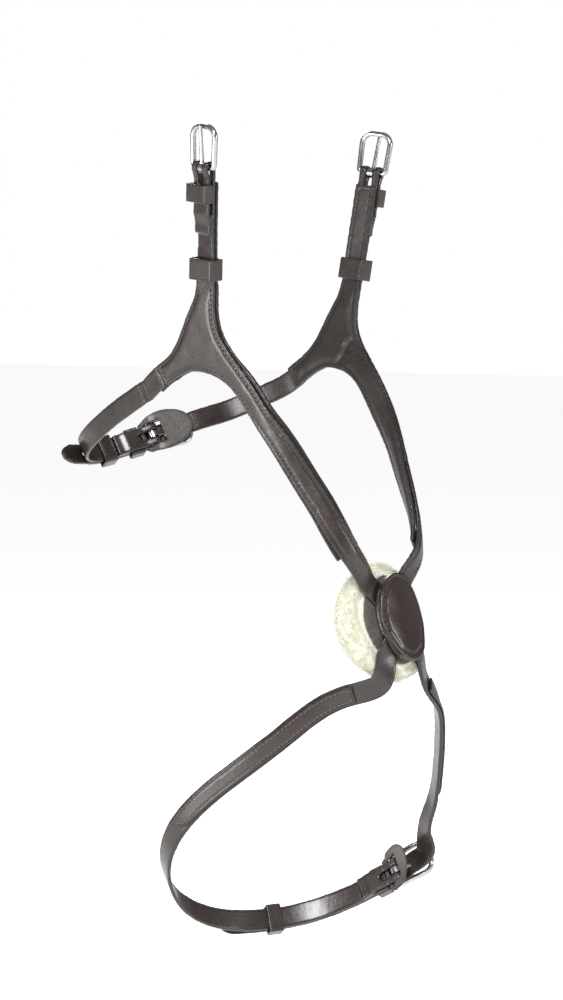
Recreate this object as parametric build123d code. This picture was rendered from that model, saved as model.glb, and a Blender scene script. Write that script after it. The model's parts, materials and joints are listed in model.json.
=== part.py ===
from build123d import *
import math
import os

os.makedirs("parts", exist_ok=True)

# Grackle (figure-eight) noseband, in mm. +Z is up, -Y is the horse's nose, +X is the horse's left.
# The origin is the point on the horse's nose where the middle of the fleece pad rests.

STRAP_WIDTH = 13.5
LEATHER = 2.4
LAYER_GAP = 0.15
NOSE_SLOPE = 17.0

# Buckles: a stainless rod frame that turns on its own heel bar inside a folded strap end.
ROD_RADIUS = 1.7
BAR_CLEARANCE = 0.08
BUCKLE_LENGTH = 24.0
BUCKLE_HALF_WIDTH = 10.2
TONGUE_RADIUS = 1.3
TONGUE_TIP_RADIUS = 1.1
TONGUE_SLOT = 5.0
KEEPER_WALL = 1.3
KEEPER_SIDE_ROOM = 0.8
FOLD_GAP = KEEPER_WALL + 0.2
RUNNER_LENGTH = 9.0
BAR_TO_STRAP = ROD_RADIUS + BAR_CLEARANCE + LEATHER / 2

# The nose pad is a stack of layers wrapped round the nose. A level is a height above the nose.
NOSE_RADIUS = 42.0
FLEECE_TOP = 13.0
FLEECE_HALF_WIDTH = 31.0
FLEECE_HALF_HEIGHT = 34.0
BACKING_TOP = 15.0
LOWER_STRAP_LEVEL = 16.9
UPPER_STRAP_LEVEL = 20.3
SHIELD_INNER_HEIGHT = 21.8
SHIELD_THICKNESS = 2.2
PAD_FRAME = Plane(
    origin=(0, 0, 0),
    x_dir=(1, 0, 0),
    z_dir=(0, -math.cos(math.radians(NOSE_SLOPE)), math.sin(math.radians(NOSE_SLOPE))),
)

# The left cheek lies in one plane. Its right twin is a mirror image.
CHEEK_JUNCTION = Vector(65, 78, 161)
CHEEK_TOP = Vector(76, 66, 271)
CHEEK_UP = (CHEEK_TOP - CHEEK_JUNCTION).normalized()
CHEEK_OUT = Vector(0.99, -0.06, -0.1055)
BUCKLE_OUT = Vector(0.988, 0.156, -0.08)
CHEEK_FORWARD = CHEEK_UP.cross(CHEEK_OUT).normalized() * -1
CHEEK_TURN = 39.0
WEB_TOP = 42.0
NOSE_WEB_RUN = 36.0
JOWL_WEB_RUN = 29.5
CHEEK_FRAME = Plane(origin=CHEEK_JUNCTION, x_dir=CHEEK_FORWARD, z_dir=CHEEK_OUT * -1)
LINING = 2.0
LINING_WIDTH = 17.0
OVERLAY = 1.5
OVERLAY_WIDTH = 10.5
SAFE_WIDTH = 25.5
SAFE_SHEET = 1.2
SAFE_ROOT = 7.5
BILLET_HOLE_RADIUS = 1.7
LOOP_TURN = 26.0

# The jowl loop lies in a plane that slopes down and back from the two cheeks.
JOWL_SLOPE = 30.0
JOWL_START = Vector(0, 105, 150)
JOWL_ALONG = Vector(0, math.cos(math.radians(JOWL_SLOPE)), -math.sin(math.radians(JOWL_SLOPE)))
JOWL_FLEX = 24.0
CHIN_FLEX_Z = -30.0
CHIN_FLEX_GAP = 2.4
JOWL_FLEX_GAP = 4.0


class Course:
    """The run of a strap: a smooth centre-line that knows which way the strap faces."""

    def __init__(self, stops):
        points = [Vector(*point) for point, _ in stops]
        guides = [point + Vector(*face).normalized() * 10 for point, (_, face) in zip(points, stops)]
        runs = [0.0]
        for first, second in zip(points, points[1:]):
            runs.append(runs[-1] + (second - first).length)
        marks = [run / runs[-1] for run in runs]
        self.centre = Edge.make_spline(points, parameters=marks)
        self.guide = Edge.make_spline(guides, parameters=marks)

    def frame(self, t):
        """Plane at t: x along the strap, y across its width, z out of its face."""
        point = self.centre.position_at(t)
        along = self.centre.tangent_at(t)
        face = self.guide.position_at(t) - point
        return Plane(origin=point, x_dir=along, z_dir=face - along * face.dot(along))

    def length(self):
        """Length of the strap along its centre-line."""
        return self.centre.length

    def nearest(self, target):
        """The t whose centre-line point is closest to a target point."""
        steps = 400

        def gap(step):
            return (self.centre.position_at(step / steps) - target).length

        return min(range(steps + 1), key=gap) / steps

    def frame_from_end(self, away):
        """Plane at a length back from the end of the strap."""
        return self.frame(1 - away / self.length())


def strap(course, start, end, bottom, top, width=STRAP_WIDTH):
    """Solid strip that follows a course from start to end, between two heights on its face."""
    count = max(6, round(course.length() * (end - start) / 7))
    corners = [(-width / 2, bottom), (width / 2, bottom), (width / 2, top), (-width / 2, top)]
    marks = [i / count for i in range(count + 1)]
    frames = [course.frame(start + (end - start) * mark) for mark in marks]
    rails = []
    for across, height in corners:
        points = [plane.from_local_coords(Vector(0, across, height)) for plane in frames]
        rails.append(Edge.make_spline(points, parameters=marks))
    sides = [Face.make_surface_from_curves(a, b) for a, b in zip(rails, rails[1:] + rails[:1])]
    caps = [
        Face(Wire.make_polygon([plane.from_local_coords(Vector(0, a, h)) for a, h in corners]))
        for plane in (frames[0], frames[-1])
    ]
    return Solid(Shell(sides + caps))


def half_space(point, normal):
    """Big block on the side of a plane that its normal points to."""
    block = Box(900, 900, 900, align=(Align.CENTER, Align.CENTER, Align.MIN))
    return Plane(origin=point, z_dir=normal) * block


def round_tip(piece, plane, width):
    """Rounds the strap end that stops at a plane whose x points along the strap."""
    reach = 0.8 * width
    block = Box(reach + 2, width + 4, 12, align=(Align.MIN, Align.CENTER, Align.CENTER))
    keep = extrude(Ellipse(reach, width / 2), 6, both=True)
    tip = plane.location * Pos(-reach, 0, 0)
    return piece - (tip * (block - keep))


def punched(piece, course, places):
    """Punches round billet holes through a strap, at lengths back from its tip."""
    for away in places:
        piece = piece - course.frame_from_end(away).location * Cylinder(BILLET_HOLE_RADIUS, 12)
    return piece


def fold(plane, turn_length, leg_length):
    """Strap end round a buckle bar. Plane: origin on the bar, x from the buckle, z to the turned side."""
    near = LEATHER + FOLD_GAP - BAR_TO_STRAP
    far = LEATHER + LAYER_GAP - BAR_TO_STRAP
    with BuildSketch(Plane.XZ) as side:
        with BuildLine() as run:
            Polyline((leg_length, -BAR_TO_STRAP), (0, -BAR_TO_STRAP))
            ThreePointArc((0, -BAR_TO_STRAP), (-BAR_TO_STRAP, 0), (0, BAR_TO_STRAP))
            Polyline((0, BAR_TO_STRAP), (7, near), (turn_length * 0.7, near))
            Polyline((turn_length * 0.7, near), (turn_length * 0.85, far), (turn_length, far))
        trace(run.line, LEATHER)
    body = extrude(side.sketch, STRAP_WIDTH / 2, both=True)
    block = Box(10 + leg_length, STRAP_WIDTH, 30, align=(Align.MIN, Align.CENTER, Align.CENTER))
    body = body & Pos(-10, 0, 0) * block
    body = body - Cylinder(ROD_RADIUS + BAR_CLEARANCE, 40, rotation=(90, 0, 0))
    body = body - extrude(SlotOverall(22, TONGUE_SLOT), 20, both=True)
    return plane.location * body


def buckle_frame(plane):
    """Rod frame of a buckle. Plane: origin on the heel bar, x towards the strap, z to the outer side."""
    heel = BUCKLE_HALF_WIDTH - 1
    far = -BUCKLE_LENGTH
    with BuildLine() as outline:
        Polyline((0, heel), (far, BUCKLE_HALF_WIDTH), (far, -BUCKLE_HALF_WIDTH), (0, -heel), close=True)
    wire = Wire(outline.line.edges())
    wire = wire.fillet_2d(6.5, [corner for corner in wire.vertices() if corner.X < far / 2])
    wire = wire.fillet_2d(2.2, [corner for corner in wire.vertices() if corner.X > -0.01])
    section = Plane(origin=wire @ 0, z_dir=wire % 0) * Circle(ROD_RADIUS)
    return plane.location * sweep(section, path=wire)


def buckle_tongue(plane):
    """Tongue: a hub on the heel bar and a tapered rod that rests on the front of the frame."""
    length = BUCKLE_LENGTH - 2.4
    rest = ROD_RADIUS + TONGUE_RADIUS
    start = Plane(origin=(-2.4, 0, 1.2), z_dir=(-length, 0, rest - 1.2))
    hub = Cylinder(ROD_RADIUS + BAR_CLEARANCE + 1.5, 3.6, rotation=(90, 0, 0))
    rod = loft([start * Circle(TONGUE_RADIUS), start.offset(length) * Circle(TONGUE_TIP_RADIUS)])
    tip = Pos(start.origin + start.z_dir * length) * Sphere(TONGUE_TIP_RADIUS)
    body = hub + rod + tip - Cylinder(ROD_RADIUS + BAR_CLEARANCE, 10, rotation=(90, 0, 0))
    return plane.location * body


def keeper(plane, low, high, length):
    """Closed leather loop round a strap, between two heights on its face. Plane: x along the strap."""
    inner_width = STRAP_WIDTH + 2 * KEEPER_SIDE_ROOM
    middle = (low + high) / 2
    outer = Box(length, inner_width + 2 * KEEPER_WALL, high - low + 2 * KEEPER_WALL)
    outer = fillet(outer.edges().filter_by(Axis.X), 1.2)
    inner = Box(length + 2, inner_width, high - low)
    return plane.location * Pos(0, 0, middle) * (outer - inner)


def cheek_point(forward, up):
    """Point in the left cheek's plane, measured from the junction of its three arms."""
    return CHEEK_JUNCTION + CHEEK_FORWARD * forward + CHEEK_UP * up


def jowl_point(x, run):
    """Point in the plane of the jowl loop."""
    return JOWL_START + Vector(x, 0, 0) + JOWL_ALONG * run


def pad_place(x, up, level):
    """Point on the curved nose pad and the direction it faces, from its middle."""
    radius = NOSE_RADIUS + level
    angle = x / radius
    place = Vector(radius * math.sin(angle), up, radius * math.cos(angle) - NOSE_RADIUS)
    point = PAD_FRAME.from_local_coords(place)
    face = PAD_FRAME.from_local_coords(Vector(math.sin(angle), 0, math.cos(angle)))
    return (point, face)


def straight_end(end, along, face):
    """Stops on a straight line, so that the folded end of a strap lies flat on its course."""
    along = along.normalized()
    return [(end - along * back, face) for back in (LOOP_TURN + 4, 20, 10, 0)]


def mirrored(stops):
    """The same stops on the other side of the horse."""
    return [(Vector(-p.X, p.Y, p.Z), Vector(-f.X, f.Y, f.Z)) for p, f in stops]


def as_vectors(stops):
    """Stops given as plain tuples, turned into vectors."""
    return [(Vector(*point), Vector(*face)) for point, face in stops]


# Cheek straps. Each one is a single strap: cheek, nose arm, crossing under the shield, chin strap.
ARM_STOPS = [
    (cheek_point(0, 0), CHEEK_OUT),
    (cheek_point(12, -5), CHEEK_OUT),
    (cheek_point(24, -12.5), CHEEK_OUT),
    (cheek_point(33, -21.5), CHEEK_OUT),
    (cheek_point(42, -32), CHEEK_OUT),
    (Vector(54.5, 28.5, 110), Vector(0.93, -0.36, -0.05)),
    (Vector(48.5, 16.5, 90), Vector(0.87, -0.48, 0.05)),
    (Vector(42.5, 4.5, 70), Vector(0.78, -0.61, 0.1)),
    (Vector(35.5, -5, 50), Vector(0.65, -0.74, 0.15)),
    (Vector(28, -8.5, 38.5), Vector(0.5, -0.83, 0.22)),
]


def crossing(middle_level):
    """Stops that take a left nose arm under the shield and out below it on the right."""
    return [
        pad_place(15, 20, LOWER_STRAP_LEVEL),
        pad_place(7, 10, middle_level),
        pad_place(0, 0, middle_level),
        pad_place(-7, -10, middle_level),
        pad_place(-14.5, -19.5, LOWER_STRAP_LEVEL),
    ]


# The right chin strap hangs back and down, turns under the chin and comes forward to its buckle.
RIGHT_CHIN_STOPS = [
    (Vector(-18.5, -19.8, CHIN_FLEX_Z), Vector(-0.45, -0.87, 0)),
    (Vector(-27, -1, -39.5), Vector(-0.78, -0.6, -0.1)),
    (Vector(-49, 29, -63), Vector(-0.86, -0.48, -0.1)),
    (Vector(-62, 54, -85), Vector(-0.92, -0.38, 0)),
    (Vector(-69, 77, -104), Vector(-0.97, -0.2, -0.05)),
    (Vector(-71.5, 96, -124), Vector(-0.98, 0.1, -0.15)),
    (Vector(-66, 109, -144), Vector(-0.85, 0.45, -0.3)),
    (Vector(-52, 116, -164), Vector(-0.5, 0.7, -0.5)),
    (Vector(-34, 117, -178), Vector(-0.1, 0.8, -0.55)),
    (Vector(-12, 111, -187), Vector(0.2, 0.84, -0.45)),
    (Vector(12, 100, -189.5), Vector(0.45, 0.78, -0.42)),
    (Vector(30, 87.5, -187.5), Vector(0.5, 0.72, -0.45)),
    (Vector(43.5, 74, -182), Vector(0.68, 0.55, -0.48)),
]
CHIN_END = Vector(65.5, 34.5, -159.5)
CHIN_END_ALONG = Vector(0.36, -0.8, 0.48)
CHIN_END_FACE = Vector(0.9, 0.19, -0.37)
LEFT_CHIN_STOPS = [
    (Vector(20.5, -20, CHIN_FLEX_Z), Vector(0.45, -0.87, 0)),
    (Vector(39, -15, -48), Vector(0.75, -0.65, 0.1)),
    (Vector(50, -9, -68), Vector(0.79, -0.6, 0.1)),
    (Vector(57.5, -1.5, -94), Vector(0.77, -0.63, 0.1)),
    (Vector(61.5, 5.5, -114), Vector(0.8, -0.58, 0.05)),
    (Vector(64.5, 13, -133), Vector(0.9, -0.35, 0)),
]

# Jowl straps, as places across the horse and along the loop's plane.
RIGHT_JOWL_RUN = [(-65.5, 20), (-66, 43), (-63.5, 69), (-57.5, 88), (-48, 100), (-38, 103.5)]
LEFT_JOWL_RUN = [(64.5, 20), (58, 33), (49, 45), (39, 55.5)]
JOWL_END = (1, 86)
JOWL_END_RUN = (0.88, -0.475)


def jowl_stops(side, run):
    """Stops for one jowl strap: out of the cheek, then round the loop, facing away from its middle."""
    stops = [(cheek_point(forward, up), CHEEK_OUT) for forward, up in ((0, 0), (-14, -5.5), (-27, -13))]
    if side < 0:
        stops = mirrored(stops)
    middle = jowl_point(0, 25)
    return stops + [(jowl_point(x, s), jowl_point(x, s) - middle) for x, s in run]


def arm_end(course, run):
    """End of the web on an arm: its place and direction as forward and up in the cheek's plane."""
    frame = course.frame(run / course.length())
    place = CHEEK_FRAME.to_local_coords(frame.origin)
    further = CHEEK_FRAME.to_local_coords(frame.origin + frame.x_dir)
    return Vector(place.X, place.Y), Vector(further.X - place.X, further.Y - place.Y).normalized()


def web(edge):
    """Flat web between the three arms of the cheek, for straps that reach edge each way."""
    grown = edge - STRAP_WIDTH / 2
    nose_end, down_nose = arm_end(long_right_chin, NOSE_WEB_RUN)
    nose_side = Vector(-down_nose.Y, down_nose.X) * edge
    jowl_end, down_jowl = arm_end(left_jowl, JOWL_WEB_RUN)
    jowl_side = Vector(down_jowl.Y, -down_jowl.X) * edge
    crotch = Vector(-6, -10.5 - grown)
    down = Vector(0, -1)
    with BuildSketch() as sketch:
        with BuildLine():
            Line((-edge, WEB_TOP), (edge, WEB_TOP))
            Spline((edge, WEB_TOP), (9 + grown, 17), nose_end + nose_side, tangents=(down, down_nose))
            Line(nose_end + nose_side, nose_end - nose_side)
            Spline(nose_end - nose_side, crotch, tangents=(down_nose * -1, (-1, 0)))
            Spline(crotch, jowl_end - jowl_side, tangents=((-1, 0), down_jowl))
            Line(jowl_end - jowl_side, jowl_end + jowl_side)
            back_curve = (jowl_end + jowl_side, (-13 - grown, 23), (-edge, WEB_TOP))
            Spline(*back_curve, tangents=(down_jowl * -1, down * -1))
        make_face()
    return sketch.sketch


def cheek_layer(low, high, edge):
    """Web between two heights on the face of the outer leather, in the left cheek's plane."""
    middle = (low + high) / 2
    return CHEEK_FRAME.location * Pos(0, 0, -middle) * extrude(web(edge), (high - low) / 2, both=True)


def pad_layer(outline, low, high):
    """Part of the curved nose pad between two levels, inside an outline."""
    outer = Cylinder(NOSE_RADIUS + high, 120, rotation=(90, 0, 0))
    shell = outer - Cylinder(NOSE_RADIUS + low, 120, rotation=(90, 0, 0))
    column = Pos(0, 0, -30) * extrude(outline, 70)
    return PAD_FRAME.location * (Pos(0, 0, -NOSE_RADIUS) * shell & column)


def rounded_rim(layer, radius):
    """Pad layer with a rounded front edge."""
    front = max(layer.faces(), key=lambda face: face.area if face.geom_type == GeomType.CYLINDER else 0)
    return fillet(front.edges(), radius)


def buckled_end(course, side):
    """Plane on the bar of a buckle at a course's end. Side +1 turns the end outward, -1 inward."""
    end = course.frame(1)
    bar = end.origin + end.z_dir * (side * BAR_TO_STRAP)
    return Plane(origin=bar, x_dir=end.x_dir * -1, z_dir=end.z_dir)


def turned(plane):
    """The same plane flipped over, so that its z points to the inner side."""
    return Plane(origin=plane.origin, x_dir=plane.x_dir, z_dir=plane.z_dir * -1)


def whole(pieces):
    """Pieces fused to one solid."""
    body = pieces[0]
    for piece in pieces[1:]:
        body = body + piece
    return body


def trimmed_end(body, plane):
    """Strap without the stretch that the fold at its buckle replaces."""
    block = Box(60, 40, 14, align=(Align.MAX, Align.CENTER, Align.CENTER))
    return body - plane.location * Pos(LOOP_TURN, 0, 0) * block


def buckle_stop(plane, away, height):
    """Stop in a buckle's own plane, with the strap's face as its direction."""
    return (plane.from_local_coords(Vector(away, 0, height)), plane.z_dir)


def beside_strap(course, away, height):
    """Stop that lies a height outside a strap, some way back from its buckle end."""
    frame = course.frame_from_end(away)
    return (frame.origin + frame.z_dir * height, frame.z_dir)


def billet_stops(course, plane, beyond_buckle, along_strap):
    """Stops of a billet that runs through a buckle and back over the strap, each as away and height."""
    inside = [buckle_stop(plane, away, height) for away, height in beyond_buckle + THROUGH_BUCKLE]
    return inside + [beside_strap(course, away, BILLET_HEIGHT + height) for away, height in along_strap]


def largest(shape):
    """The biggest solid of a cut shape, without the crumbs."""
    return max(shape.solids(), key=lambda solid: solid.volume)


parts = {}

HALF = LEATHER / 2
LINING_LOW = -HALF - LAYER_GAP - LINING
BILLET_HEIGHT = LEATHER + LAYER_GAP + 0.1
THROUGH_BUCKLE = [(-BUCKLE_LENGTH + 2, -3.3), (-12, 0.2), (-6.5, 3.8)]

# Straps as courses. Each arm crosses under the shield to the chin strap of the other side.
left_arm_stops = as_vectors(ARM_STOPS)
right_arm_stops = mirrored(left_arm_stops)
long_right_chin = Course(
    left_arm_stops
    + crossing(UPPER_STRAP_LEVEL)
    + as_vectors(RIGHT_CHIN_STOPS)
    + straight_end(CHIN_END, CHIN_END_ALONG, CHIN_END_FACE)
)
chin_plane = buckled_end(long_right_chin, -1)
chin_billet_stops = billet_stops(long_right_chin, chin_plane, [], [
    (2, 0.6),
    (14, 0),
    (26, 0),
    (44, 0.2),
    (62, 0.3),
    (82, 0.6),
    (98, 3),
    (116, 7.5),
])
long_left_chin = Course(
    right_arm_stops + mirrored(crossing(LOWER_STRAP_LEVEL)) + as_vectors(LEFT_CHIN_STOPS) + chin_billet_stops
)

jowl_face = jowl_point(-JOWL_END_RUN[1], JOWL_END_RUN[0]) - jowl_point(0, 0)
right_jowl = Course(
    jowl_stops(-1, RIGHT_JOWL_RUN)
    + straight_end(jowl_point(*JOWL_END), jowl_point(*JOWL_END_RUN) - jowl_point(0, 0), jowl_face)
)
jowl_plane = buckled_end(right_jowl, -1)
jowl_billet_stops = billet_stops(right_jowl, jowl_plane, [(-BUCKLE_LENGTH - 8, -5.0)], [
    (2, 0.6),
    (14, 0),
    (26, 0),
    (36, 0.3),
])
jowl_back = jowl_point(0, 1) - jowl_point(0, 0)
jowl_billet_stops += [(jowl_point(-46, 105.5), jowl_back), (jowl_point(-63, 105), jowl_back)]
left_jowl = Course(jowl_stops(1, LEFT_JOWL_RUN) + jowl_billet_stops)

# The two cheeks.
above_chin_flex = half_space((0, 0, CHIN_FLEX_Z + CHIN_FLEX_GAP / 2), (0, 0, 1))
below_chin_flex = half_space((0, 0, CHIN_FLEX_Z - CHIN_FLEX_GAP / 2), (0, 0, -1))
jowl_flex_point = jowl_point(0, JOWL_FLEX)
before_jowl_flex = half_space(jowl_flex_point - JOWL_ALONG * (JOWL_FLEX_GAP / 2), JOWL_ALONG * -1)
behind_jowl_flex = half_space(jowl_flex_point + JOWL_ALONG * (JOWL_FLEX_GAP / 2), JOWL_ALONG)
left_jowl_side = half_space((0, 0, 0), (1, 0, 0))

upright = Course([
    (cheek_point(0, 0), CHEEK_OUT),
    (cheek_point(0, 20), CHEEK_OUT),
    (cheek_point(0, 40), CHEEK_OUT),
    (cheek_point(0, 66), BUCKLE_OUT),
    (cheek_point(0, 88), BUCKLE_OUT),
    (CHEEK_TOP, BUCKLE_OUT),
])
cheek_bar = buckled_end(upright, 1)
upright_end = 1 - (CHEEK_TURN + 4) / upright.length()
lining_end = 1 - 8 / upright.length()
arm_lining_end = long_right_chin.nearest(Vector(33, -6.5, 46))
jowl_lining_end = left_jowl.nearest(jowl_point(65, 14))

left_cheek_top = [
    strap(upright, 0, upright_end, -HALF + 0.02, HALF - 0.02),
    fold(cheek_bar, CHEEK_TURN, CHEEK_TURN + 6),
    cheek_layer(-HALF, HALF, STRAP_WIDTH / 2),
]
left_cheek_lining = whole([
    cheek_layer(LINING_LOW, LINING_LOW + LINING, STRAP_WIDTH / 2 + 1),
    strap(upright, 0.02, lining_end, LINING_LOW + 0.1, LINING_LOW + LINING - 0.1, STRAP_WIDTH + 0.6),
    strap(long_right_chin, 0.01, arm_lining_end, LINING_LOW - 0.8, LINING_LOW + LINING - 0.35, LINING_WIDTH),
    strap(left_jowl, 0.01, jowl_lining_end, LINING_LOW + 0.1, LINING_LOW + LINING - 0.1, STRAP_WIDTH + 1),
])


def root_strap(course, side):
    """Outer leather of one nose arm, with its crossing and the stub below the shield."""
    last = course.nearest(Vector(19 * -side, -19, CHIN_FLEX_Z - 12))
    return largest(strap(course, 0, last, -HALF, HALF) & above_chin_flex)


def mirror_right(shape):
    """The right side's twin of a left shape."""
    return mirror(shape, about=Plane.YZ)


left_root = root_strap(long_right_chin, 1)
right_root = root_strap(long_left_chin, -1)
left_jowl_root = largest(strap(left_jowl, 0, 0.3, -HALF, HALF) & before_jowl_flex & left_jowl_side)
parts["left_cheek_leather"] = whole(left_cheek_top + [left_jowl_root, left_root])
right_cheek_top = [mirror_right(piece) for piece in left_cheek_top + [left_jowl_root]]
parts["right_cheek_leather"] = whole(right_cheek_top + [right_root])
parts["left_cheek_lining"] = left_cheek_lining
parts["right_cheek_lining"] = mirror_right(left_cheek_lining)

cheek_keeper = keeper(
    Plane(origin=cheek_bar.from_local_coords(Vector(15, 0, 0)), x_dir=cheek_bar.x_dir, z_dir=cheek_bar.z_dir),
    LEATHER + LAYER_GAP / 2 - BAR_TO_STRAP + KEEPER_WALL - HALF,
    LEATHER + FOLD_GAP - BAR_TO_STRAP + HALF + 3.0,
    11,
)
runner_spot = upright.frame(51 / upright.length())
cheek_runner = keeper(runner_spot, LINING_LOW - 0.9, HALF + 3.3, 13)
for side in ("left", "right"):
    place = mirror_right if side == "right" else (lambda shape: shape)
    parts[f"{side}_cheek_fixed_keeper"] = place(cheek_keeper)
    parts[f"{side}_cheek_runner"] = place(cheek_runner)
    parts[f"{side}_cheek_buckle_frame"] = place(buckle_frame(cheek_bar))
    parts[f"{side}_cheek_buckle_tongue"] = place(buckle_tongue(cheek_bar))

# The nose pad.
pad_room = PAD_FRAME.location * Box(70, 90, 90)
crossing_clearance = whole([
    strap(course, 0.2, end, -HALF - 0.25, HALF + 0.25, STRAP_WIDTH + 0.6) & pad_room
    for course, end in ((long_right_chin, 0.45), (long_left_chin, 0.5))
])
fleece_outline = Ellipse(FLEECE_HALF_WIDTH, FLEECE_HALF_HEIGHT)
parts["sheepskin_pad"] = rounded_rim(pad_layer(fleece_outline, 0, FLEECE_TOP), 5.5)
parts["nose_backing"] = pad_layer(Ellipse(21.5, 27), FLEECE_TOP + LAYER_GAP, BACKING_TOP)
shield_outer = pad_layer(Ellipse(18.5, 26.5), BACKING_TOP + LAYER_GAP, SHIELD_INNER_HEIGHT + SHIELD_THICKNESS)
shield_outer = rounded_rim(shield_outer, 5)
shield_inner = pad_layer(Ellipse(16.3, 24.3), BACKING_TOP - 3, SHIELD_INNER_HEIGHT)
parts["nose_shield"] = largest(shield_outer - shield_inner - crossing_clearance)


# The chin loop and the jowl loop are each a buckled strap, a billet, a safe and two keepers.
def safe(plane, leaf):
    """Oval guard between a buckle and the horse. Leaf: places away from and above the bar, to the tip."""
    with BuildSketch(Plane.XZ) as side:
        with BuildLine() as run:
            Polyline((SAFE_ROOT, -1.03), (4.3, -1.03), (2.6, 1.6))
            Spline((2.6, 1.6), *leaf, tangents=((-0.5, 0.87), Vector(*leaf[-1]) - Vector(*leaf[-2])))
        trace(run.line, SAFE_SHEET)
    sheet = extrude(side.sketch, SAFE_WIDTH, both=True)
    tip = leaf[-1][0] + 0.3
    reach = (SAFE_ROOT + 4.5 - tip) / 2
    oval = Pos(tip + reach, 0, 0) * extrude(Ellipse(reach, SAFE_WIDTH / 2), 40, both=True)
    slot = Box(10.2, STRAP_WIDTH + 1, 60, align=(Align.MIN, Align.CENTER, Align.CENTER))
    return turned(plane).location * largest((sheet & oval) - Pos(-5.4, 0, 0) * slot)


def tongue_room(plane):
    """Space round a buckled tongue that its billet hole has to leave."""
    length = BUCKLE_LENGTH
    start = Plane(origin=(-1.5, 0, 1.2), z_dir=(-length, 0, ROD_RADIUS + TONGUE_RADIUS - 1.2))
    rod = start * extrude(Circle(TONGUE_RADIUS + 0.5), length)
    hub = Cylinder(ROD_RADIUS + BAR_CLEARANCE + 1.5 + 0.25, 4.4, rotation=(90, 0, 0))
    return plane.location * (rod + hub)


def billet(course, start, beyond, plane, hole_marks):
    """Strap that runs through a buckle: rounded tip, punched holes and room for the tongue."""
    body = strap(course, start, 1, -HALF, HALF) & beyond
    body = round_tip(largest(body), course.frame(1), STRAP_WIDTH)
    body = body - tongue_room(plane)
    return largest(punched(body, course, hole_marks))


def loop_hardware(name, course, plane, leaf, runner_away, runner_room):
    """Buckle, safe, fixed keeper and runner at the buckled end of a strap."""
    parts[f"{name}_buckle_frame"] = buckle_frame(plane)
    parts[f"{name}_buckle_tongue"] = buckle_tongue(plane)
    parts[f"{name}_safe"] = safe(plane, leaf)
    keeper_place = Plane(
        origin=plane.from_local_coords(Vector(12.5, 0, 0)), x_dir=plane.x_dir, z_dir=plane.z_dir
    )
    inner = BAR_TO_STRAP - HALF - LAYER_GAP / 2
    parts[f"{name}_fixed_keeper"] = keeper(keeper_place, inner, BAR_TO_STRAP + HALF + LEATHER + 0.9, 9)
    runner_place = course.frame_from_end(runner_away)
    runner_top = HALF + LEATHER + runner_room
    parts[f"{name}_runner"] = keeper(runner_place, -HALF - 0.8, runner_top, RUNNER_LENGTH)


# Chin loop.
chin_start_right = long_right_chin.nearest(Vector(-15, -21, -18))
chin_start_left = long_left_chin.nearest(Vector(15, -21, -18))
right_chin_body = largest(strap(long_right_chin, chin_start_right, 1, -HALF, HALF) & below_chin_flex)
chin_fold = fold(turned(chin_plane), LOOP_TURN, LOOP_TURN + 2)
parts["right_chin_strap"] = whole([trimmed_end(right_chin_body, chin_plane), chin_fold])
parts["left_chin_strap"] = billet(
    long_left_chin, chin_start_left, below_chin_flex, chin_plane, [22, 36, 64, 78]
)
overlay_low = HALF + LAYER_GAP
overlay_high = overlay_low + OVERLAY


def overlay(course, start_near, end_near):
    """Narrow raised layer on a chin strap, with a rounded lower end."""
    end = course.nearest(end_near)
    strip = strap(course, course.nearest(start_near), end, overlay_low, overlay_high, OVERLAY_WIDTH)
    return round_tip(strip, course.frame(end), OVERLAY_WIDTH)


parts["right_chin_overlay"] = overlay(long_right_chin, Vector(-26, -4, -38), Vector(-71.5, 93, -120))
parts["left_chin_overlay"] = overlay(long_left_chin, Vector(26, -18, -36), Vector(62, 3, -108))
chin_leaf = [(0, 3.9), (-4, 7.2), (-10, 13), (-16, 19.5)]
loop_hardware("chin", long_right_chin, chin_plane, chin_leaf, 84, 2.0)

# Jowl loop.
right_jowl_body = largest(strap(right_jowl, 0, 1, -HALF, HALF) & behind_jowl_flex)
jowl_fold = fold(turned(jowl_plane), LOOP_TURN, LOOP_TURN + 2)
parts["right_jowl_strap"] = whole([trimmed_end(right_jowl_body, jowl_plane), jowl_fold])
parts["left_jowl_strap"] = billet(left_jowl, 0, behind_jowl_flex, jowl_plane, [20, 48, 62])
jowl_leaf = [(0, 3.5), (-4, 4.8), (-13, 6.2), (-25, 8.2)]
loop_hardware("jowl", right_jowl, jowl_plane, jowl_leaf, 31.8, 1.6)

for name, shape in parts.items():
    export_step(shape, f"parts/{name}.step")
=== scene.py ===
import json
import math

import bmesh
import bpy
import numpy as np
from mathutils import Matrix, Vector, bvhtree, kdtree, noise


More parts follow.
